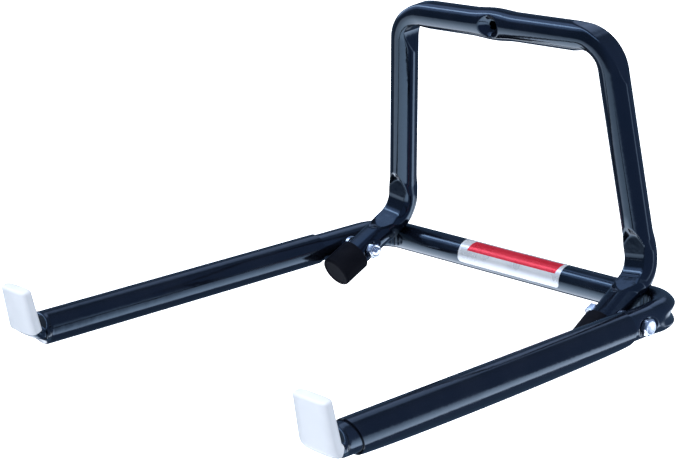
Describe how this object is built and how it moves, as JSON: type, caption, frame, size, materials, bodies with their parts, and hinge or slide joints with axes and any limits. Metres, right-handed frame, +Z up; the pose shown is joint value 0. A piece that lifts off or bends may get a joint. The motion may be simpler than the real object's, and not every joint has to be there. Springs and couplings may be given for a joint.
{
  "type": "wall-mounted bike rack",
  "caption": "Wall-mounted bike rack: a bent steel tube wall frame carries a U-shaped arm frame that folds up flat, with vinyl sleeves on its arms and covers on their upturned tips.",
  "frame": {"origin": "middle of the wall frame's top bar, on its face against the wall, beside the screw hole", "axes": "+Z up along the wall, +Y into the wall, +X to the right seen from the room; -Y is into the room"},
  "size_m": [0.3844, 0.4314, 0.2591],
  "materials": {
    "steel_black": "glossy blue-black enamel on bent steel tube",
    "cap_black": "soft black vinyl, dipped",
    "vinyl_black": "glossy black vinyl sleeve",
    "vinyl_white": "satin white vinyl, slightly bluish",
    "zinc": "bright zinc-plated steel",
    "label_foil": "satin silver foil label with a plain red band"
  },
  "bodies": {
    "wall_frame": {"wall_frame": "steel_black", "leg_cap_left": "cap_black", "leg_cap_right": "cap_black", "pivot_bolt_left": "zinc", "pivot_bolt_right": "zinc", "pivot_nut_left": "zinc", "pivot_nut_right": "zinc", "pivot_spacer_left": "zinc", "pivot_spacer_right": "zinc"},
    "arms": {"arm_frame": "steel_black", "arm_sleeve_left": "vinyl_black", "arm_sleeve_right": "vinyl_black", "tip_cover_left": "vinyl_white", "tip_cover_right": "vinyl_white"}
  },
  "joints": [
    {"name": "arm_fold", "type": "hinge", "parent": "wall_frame", "child": "arms", "pos_m": [0, -0.067, -0.21783], "axis": [-1, 0, 0], "range_deg": [0, 87.7]}
  ]
}
